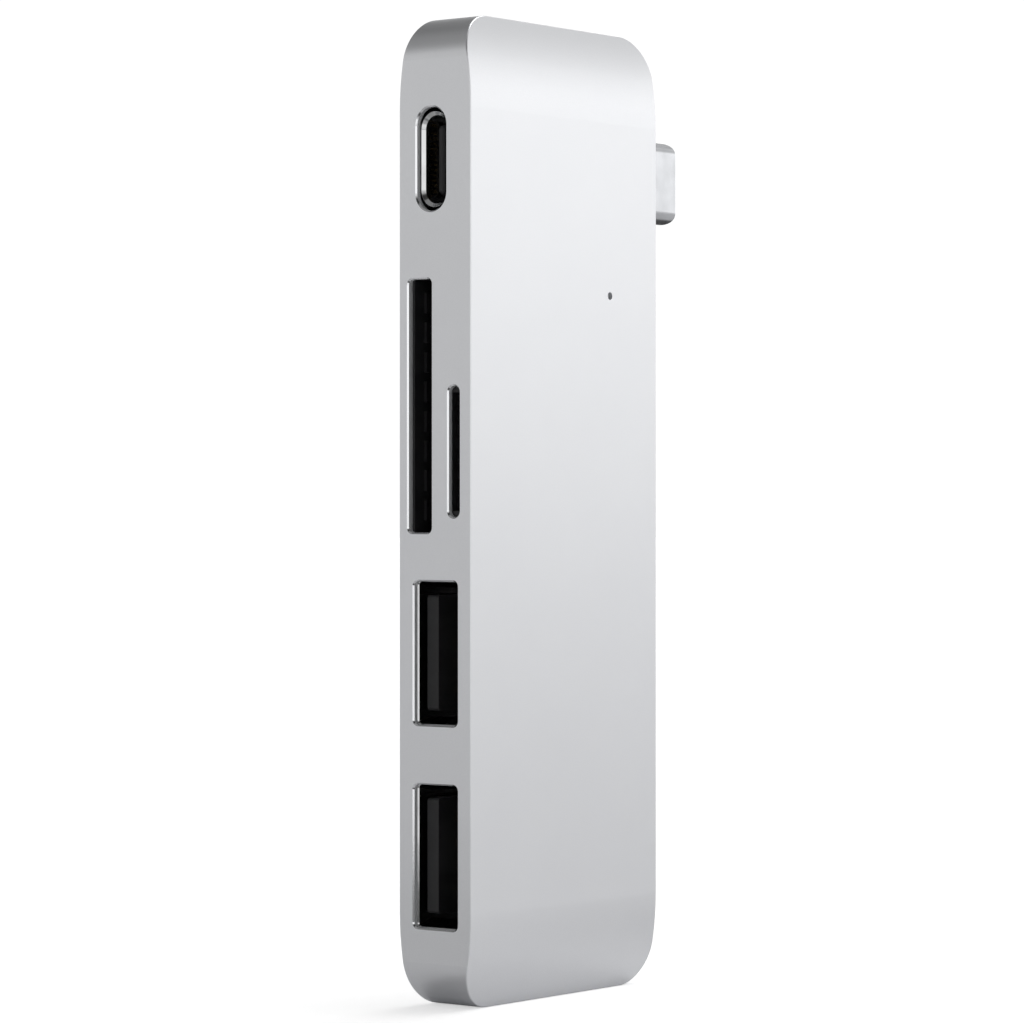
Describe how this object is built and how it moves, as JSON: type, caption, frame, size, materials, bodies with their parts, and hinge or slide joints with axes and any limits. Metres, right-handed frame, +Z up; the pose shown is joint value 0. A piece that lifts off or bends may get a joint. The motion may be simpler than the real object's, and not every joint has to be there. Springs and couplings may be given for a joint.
{
  "type": "usb hub",
  "caption": "Slim aluminium laptop hub with a fixed USB-C plug on one side and USB-A, USB-C, SD and microSD sockets on the other.",
  "frame": {"origin": "centre of the bottom end face, the hub standing on its end", "axes": "+Z up the long side, +X from the socket side to the plug side, -Y out of the front face with the status lamp"},
  "size_m": [0.0367, 0.0088, 0.095],
  "materials": {
    "housing_aluminium": "bead-blasted satin, polished opening edges",
    "adhesive": "matt foam tape",
    "black_film": "satin film",
    "thermal_silicone": "matt silicone",
    "solder_mask_green": "satin solder mask",
    "screw_steel": "zinc-plated",
    "polished_steel": "polished",
    "stamped_steel": "nickel-plated, stamped",
    "gold_contact": "gold flash",
    "black_plastic": "moulded, fine texture",
    "spring_steel": "drawn wire and tempered strip",
    "chip_resin": "moulded epoxy",
    "ferrite": "ferrite",
    "crystal_can": "plated can",
    "ceramic": "ceramic body, tinned ends",
    "resistor_black": "glazed, tinned ends",
    "fuse_green": "polymer body, tinned ends",
    "lamp_body": "white resin",
    "clear_plastic": "clear moulded"
  },
  "bodies": {
    "hub": {"back_cover": "housing_aluminium", "board_screws": "screw_steel", "card_reader_controller": "chip_resin", "ceramic_capacitors": "ceramic", "chip_resistors": "resistor_black", "cover_adhesive": "adhesive", "crystals": "crystal_can", "hub_controller": "chip_resin", "inductors": "ferrite", "insulating_film": "black_film", "light_pipe": "clear_plastic", "main_board": "solder_mask_green", "microsd_contacts": "gold_contact", "microsd_cover": "stamped_steel", "microsd_detect_switch": "gold_contact", "microsd_insulator": "black_plastic", "microsd_lock_wire": "spring_steel", "microsd_spring": "spring_steel", "plug_back_shell": "stamped_steel", "plug_contacts_back": "gold_contact", "plug_contacts_front": "gold_contact", "plug_insulator": "black_plastic", "plug_latch": "stamped_steel", "plug_shell": "polished_steel", "polymer_fuses": "fuse_green", "power_controller": "chip_resin", "power_switches": "chip_resin", "sd_contacts": "gold_contact", "sd_cover": "stamped_steel", "sd_detect_switch": "gold_contact", "sd_insulator": "black_plastic", "status_led": "lamp_body", "surge_arrays": "chip_resin", "thermal_pad": "thermal_silicone", "top_housing": "housing_aluminium", "usb_a_lower_contacts": "gold_contact", "usb_a_lower_fast_contacts": "gold_contact", "usb_a_lower_insulator": "black_plastic", "usb_a_lower_shell": "stamped_steel", "usb_a_upper_contacts": "gold_contact", "usb_a_upper_fast_contacts": "gold_contact", "usb_a_upper_insulator": "black_plastic", "usb_a_upper_shell": "stamped_steel", "usb_c_contacts_back": "gold_contact", "usb_c_contacts_front": "gold_contact", "usb_c_insulator": "black_plastic", "usb_c_mid_plate": "stamped_steel", "usb_c_shell": "stamped_steel"},
    "ejector": {"microsd_slider": "black_plastic"}
  },
  "joints": [
    {"name": "microsd_eject", "type": "slide", "parent": "hub", "child": "ejector", "axis": [1, 0, 0], "range_m": [0, 0.0015], "stiffness_N_per_m": 150, "springref_m": -0.0005, "deforming": ["microsd_spring"]}
  ]
}
